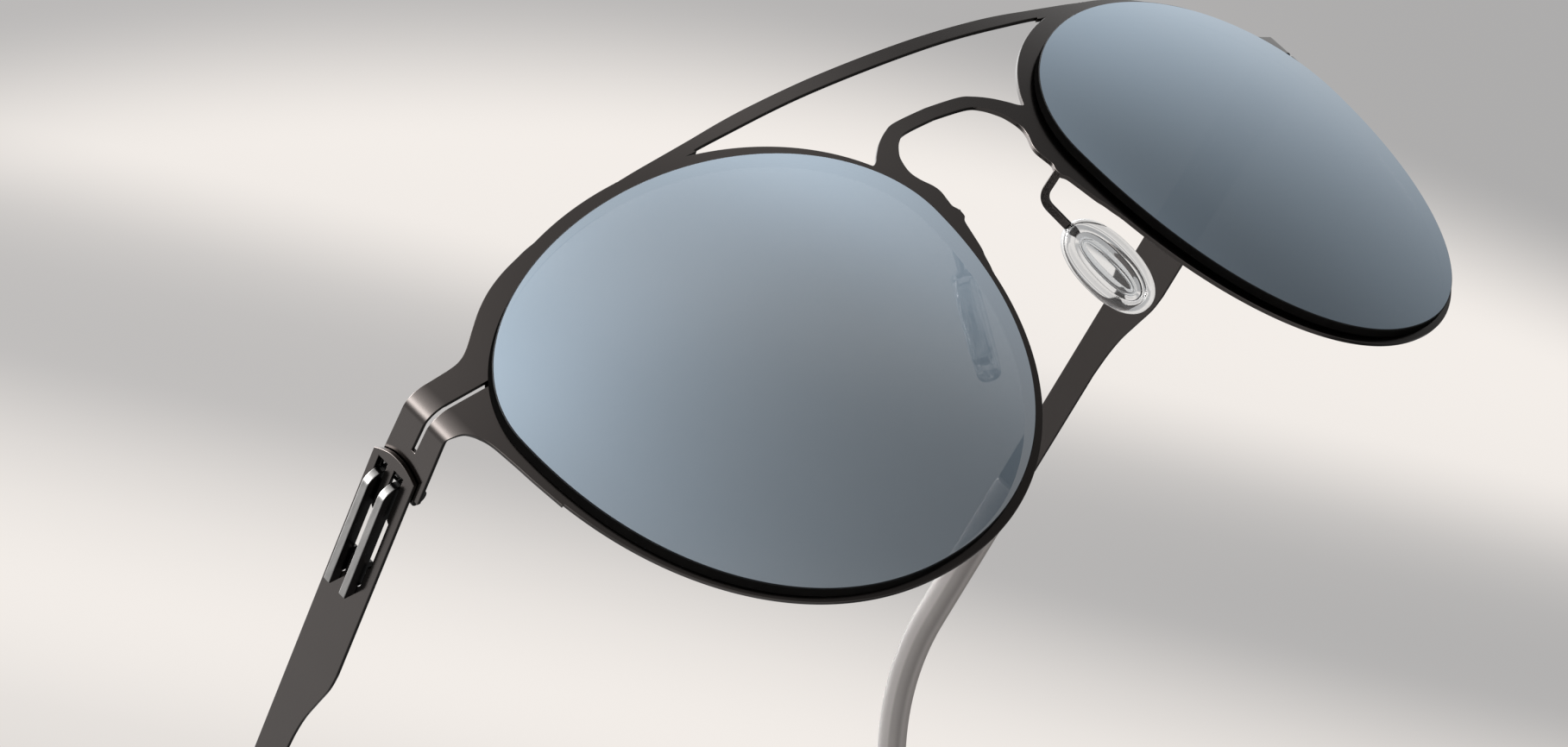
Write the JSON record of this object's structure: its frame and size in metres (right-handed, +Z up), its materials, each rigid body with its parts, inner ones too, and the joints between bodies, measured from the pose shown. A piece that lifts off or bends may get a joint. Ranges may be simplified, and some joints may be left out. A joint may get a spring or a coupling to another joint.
{
  "type": "metal sunglasses",
  "caption": "Double-bridge aviator sunglasses with a thin sheet-metal front, mirrored lenses, folding temples on screwless clip hinges, clear nose pads and ear sleeves.",
  "frame": {"origin": "middle of the bounding box in X and Y, on the ground under the rims and the sleeve tips", "axes": "+X to the wearer's left, +Y back along the temples, +Z up; the lenses face -Y"},
  "size_m": [0.1444, 0.1562, 0.0543],
  "materials": {
    "satin_steel": "satin dark gunmetal coating on thin spring sheet",
    "bright_steel": "polished clip",
    "mirror_lens": "grey lens with a silver-blue mirror coating",
    "sleeve": "grey-beige translucent tip",
    "clear_soft": "clear soft pad",
    "clear_hard": "clear stiff insert"
  },
  "bodies": {
    "front": {"front_frame": "satin_steel", "lens_left": "mirror_lens", "lens_right": "mirror_lens", "nose_pad_left": "clear_soft", "nose_pad_right": "clear_soft", "pad_insert_left": "clear_hard", "pad_insert_right": "clear_hard"},
    "temple_left_body": {"temple_left": "satin_steel", "hinge_clip_left": "bright_steel", "ear_sleeve_left": "sleeve"},
    "temple_right_body": {"temple_right": "satin_steel", "hinge_clip_right": "bright_steel", "ear_sleeve_right": "sleeve"}
  },
  "joints": [
    {"name": "fold_left", "type": "hinge", "parent": "front", "child": "temple_left_body", "pos_m": [0.06925, -0.05347, 0.04156], "axis": [0, 0.0663, 0.9978], "range_deg": [0, 87]},
    {"name": "fold_right", "type": "hinge", "parent": "front", "child": "temple_right_body", "pos_m": [-0.06925, -0.05347, 0.04156], "axis": [0, -0.0663, -0.9978], "range_deg": [0, 82]}
  ]
}
